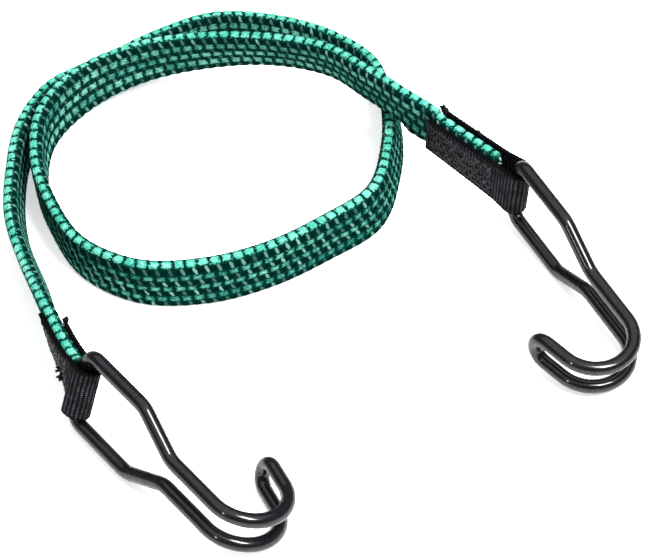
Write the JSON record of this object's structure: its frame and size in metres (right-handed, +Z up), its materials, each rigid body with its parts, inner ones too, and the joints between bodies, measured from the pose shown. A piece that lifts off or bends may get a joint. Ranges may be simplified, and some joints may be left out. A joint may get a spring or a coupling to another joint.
{
  "type": "bungee cord",
  "caption": "Flat green woven bungee cord laid on edge in a loose turn, with sewn black webbing ends that hold glossy black coated wire hooks.",
  "frame": {"origin": "on the table, under the middle of the box round the hooks and the webbing ends", "axes": "+Z up from the table, +X to the right and +Y away from the viewer, as the cord is pictured"},
  "size_m": [0.1981, 0.2235, 0.0363],
  "materials": {
    "woven_jacket": "matte weave of light and dark green checks",
    "strand_rubber": "matte",
    "webbing": "matte, ribbed",
    "thread": "slight sheen",
    "hook_wire": "drawn",
    "hook_coat": "glossy dipped vinyl"
  },
  "bodies": {
    "band": {"band_left_tail": "woven_jacket", "band_loop": "woven_jacket", "band_right_tail": "woven_jacket", "rubber_strand_1": "strand_rubber", "rubber_strand_2": "strand_rubber", "rubber_strand_3": "strand_rubber", "rubber_strand_4": "strand_rubber", "rubber_strand_5": "strand_rubber", "rubber_strand_6": "strand_rubber"},
    "left_end": {"left_webbing": "webbing", "left_needle_thread": "thread", "left_bobbin_thread": "thread"},
    "left_hook": {"left_hook_wire": "hook_wire", "left_hook_coat": "hook_coat"},
    "right_end": {"right_webbing": "webbing", "right_needle_thread": "thread", "right_bobbin_thread": "thread"},
    "right_hook": {"right_hook_wire": "hook_wire", "right_hook_coat": "hook_coat"}
  },
  "joints": [
    {"name": "left_stretch", "type": "slide", "parent": "band", "child": "left_end", "axis": [0.3663, -0.9286, 0.0593], "range_m": [0, 0.05], "stiffness_N_per_m": 1500, "deforming": ["band_left_tail", "rubber_strand_1", "rubber_strand_2", "rubber_strand_3", "rubber_strand_4", "rubber_strand_5", "rubber_strand_6"]},
    {"name": "left_hook_swing", "type": "hinge", "parent": "left_end", "child": "left_hook", "pos_m": [-0.07825, -0.02604, 0.01648], "axis": [0.2443, 0.1575, 0.9568], "range_deg": [-138, 55]},
    {"name": "right_stretch", "type": "slide", "parent": "band", "child": "right_end", "axis": [0.7365, -0.6678, -0.108], "range_m": [0, 0.05], "stiffness_N_per_m": 1500, "deforming": ["band_right_tail", "rubber_strand_1", "rubber_strand_2", "rubber_strand_3", "rubber_strand_4", "rubber_strand_5", "rubber_strand_6"]},
    {"name": "right_hook_swing", "type": "hinge", "parent": "right_end", "child": "right_hook", "pos_m": [0.05485, 0.05516, 0.01816], "axis": [0.0341, -0.1228, 0.9918], "range_deg": [-58, 137]}
  ]
}
